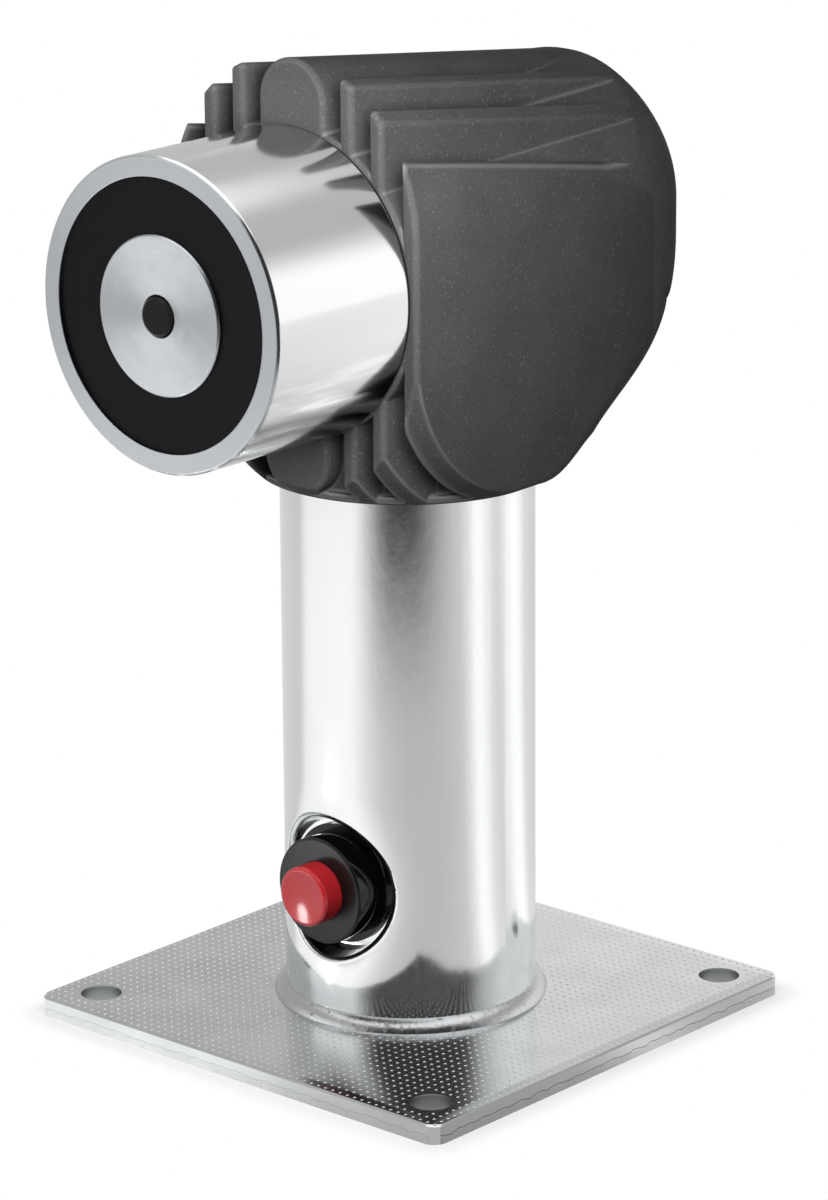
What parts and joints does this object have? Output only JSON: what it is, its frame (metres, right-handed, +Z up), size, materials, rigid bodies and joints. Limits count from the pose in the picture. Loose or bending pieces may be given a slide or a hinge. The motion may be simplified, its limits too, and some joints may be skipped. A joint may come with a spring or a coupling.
{
  "type": "door holder electromagnet",
  "caption": "Floor-stand electromagnet that holds a door open: round magnet on a finned plastic head, plated tube post with a red release button, square bolted base plate.",
  "frame": {"origin": "centre of the base plate's bolt pattern on its underside, on the axis of the post", "axes": "+Z up the post, -Y the way the magnet's face looks, X across the head"},
  "size_m": [0.106, 0.1288, 0.1976],
  "materials": {
    "plate_zinc": "bright zinc plate, top pressed with small raised dots",
    "post_chrome": "polished and bright plated steel tube",
    "head_plastic": "dark grey moulded plastic with a fine speckled grain",
    "magnet_steel": "turned steel, bright zinc plated",
    "potting_resin": "matt black casting resin",
    "seal_rubber": "soft black seal",
    "pin_plastic": "black plastic",
    "block_aluminium": "turned and milled",
    "terminal_plastic": "light grey moulded plastic",
    "terminal_brass": "bright",
    "screw_steel": "zinc plated",
    "spring_steel": "bright spring wire",
    "bobbin_plastic": "natural moulded nylon",
    "winding_copper": "enamelled copper wire, wound solid",
    "button_black": "glossy black moulded plastic",
    "button_red": "red moulded plastic with a satin face"
  },
  "bodies": {
    "stand": {"base_plate": "plate_zinc", "post_tube": "post_chrome", "weld_bead": "plate_zinc", "head_housing": "head_plastic", "mount_block": "block_aluminium", "block_screws": "screw_steel", "terminal_block": "terminal_plastic", "terminal_clamps": "terminal_brass", "terminal_screws": "screw_steel", "fixing_screw": "screw_steel", "magnet_seal": "seal_rubber", "magnet_pot": "magnet_steel", "pole_core": "magnet_steel", "magnet_stud": "screw_steel", "coil_bobbin": "bobbin_plastic", "coil_winding": "winding_copper", "potting_ring": "potting_resin", "release_spring": "spring_steel", "button_body": "button_black", "button_spring": "spring_steel", "fixed_contacts": "terminal_brass", "switch_base": "button_black", "button_washer": "spring_steel", "button_nut": "screw_steel"},
    "button": {"button_cap": "button_red", "contact_bridge": "terminal_brass"},
    "pin": {"release_pin": "pin_plastic"}
  },
  "joints": [
    {"name": "button_press", "type": "slide", "parent": "stand", "child": "button", "axis": [0, 1, 0], "range_m": [0, 0.002], "stiffness_N_per_m": 600, "springref_m": -0.003, "deforming": ["button_spring"]},
    {"name": "release_pin_press", "type": "slide", "parent": "stand", "child": "pin", "axis": [0, 1, 0], "range_m": [0, 0.0006], "stiffness_N_per_m": 3000, "springref_m": -0.002, "deforming": ["release_spring"]}
  ]
}
